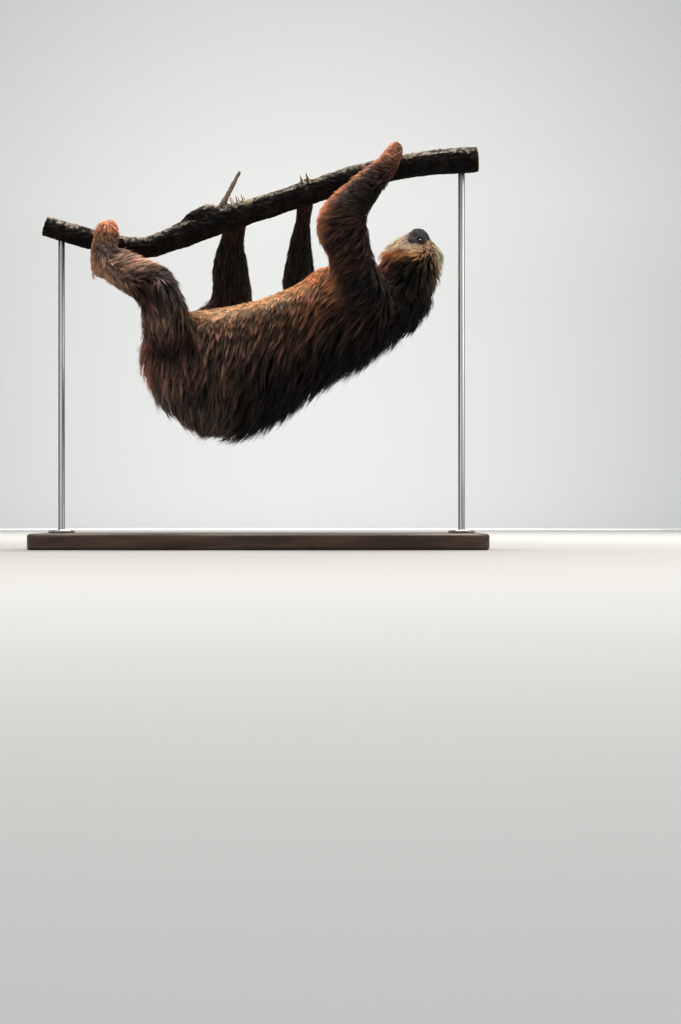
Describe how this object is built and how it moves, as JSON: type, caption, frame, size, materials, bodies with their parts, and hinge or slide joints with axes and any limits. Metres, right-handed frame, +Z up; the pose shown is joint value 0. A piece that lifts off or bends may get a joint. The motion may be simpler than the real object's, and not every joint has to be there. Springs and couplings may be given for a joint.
{
  "type": "two-toed sloth",
  "caption": "A life-size two-toed sloth with a long shaggy brown coat hangs belly up by its hooked claws from a cut length of branch on a plain display stand.",
  "frame": {"origin": "middle of the stand's base on its underside, which rests on the floor", "axes": "+Z up, +X along the animal towards its head, -Y out of its left side; its belly faces up"},
  "size_m": [0.8, 0.36, 0.7333],
  "materials": {
    "coat": "long coarse shaggy fur, dark brown with paler tips",
    "limb_coat": "dense reddish-brown fur, ochre on the hands and feet",
    "face_coat": "short buff to golden fur, cream at the crown",
    "bare_skin": "bare, dark and slightly moist",
    "eye": "wet, very dark brown",
    "claw": "smooth horn",
    "bark": "rough dark bark with pale lichen on top",
    "stand_wood": "satin-varnished dark hardwood",
    "stand_steel": "satin turned steel"
  },
  "bodies": {
    "root": {"trunk": "coat", "neck": "coat", "head": "face_coat", "snout": "bare_skin", "jaw": "bare_skin", "nose": "bare_skin", "eye_left": "eye", "eye_right": "eye", "ear_left": "bare_skin", "ear_right": "bare_skin", "forelimb_left_upper_arm": "limb_coat", "forelimb_left_forearm": "limb_coat", "forelimb_left_hand": "limb_coat", "forelimb_left_claw_1": "claw", "forelimb_left_claw_2": "claw", "forelimb_right_upper_arm": "limb_coat", "forelimb_right_forearm": "limb_coat", "forelimb_right_hand": "limb_coat", "forelimb_right_claw_1": "claw", "forelimb_right_claw_2": "claw", "hindlimb_left_thigh": "limb_coat", "hindlimb_left_shank": "limb_coat", "hindlimb_left_foot": "limb_coat", "hindlimb_left_claw_1": "claw", "hindlimb_left_claw_2": "claw", "hindlimb_left_claw_3": "claw", "hindlimb_right_thigh": "limb_coat", "hindlimb_right_shank": "limb_coat", "hindlimb_right_foot": "limb_coat", "hindlimb_right_claw_1": "claw", "hindlimb_right_claw_2": "claw", "hindlimb_right_claw_3": "claw", "perch_branch": "bark", "stand_base": "stand_wood", "stand_rod_tail": "stand_steel", "stand_rod_head": "stand_steel"}
  },
  "joints": []
}
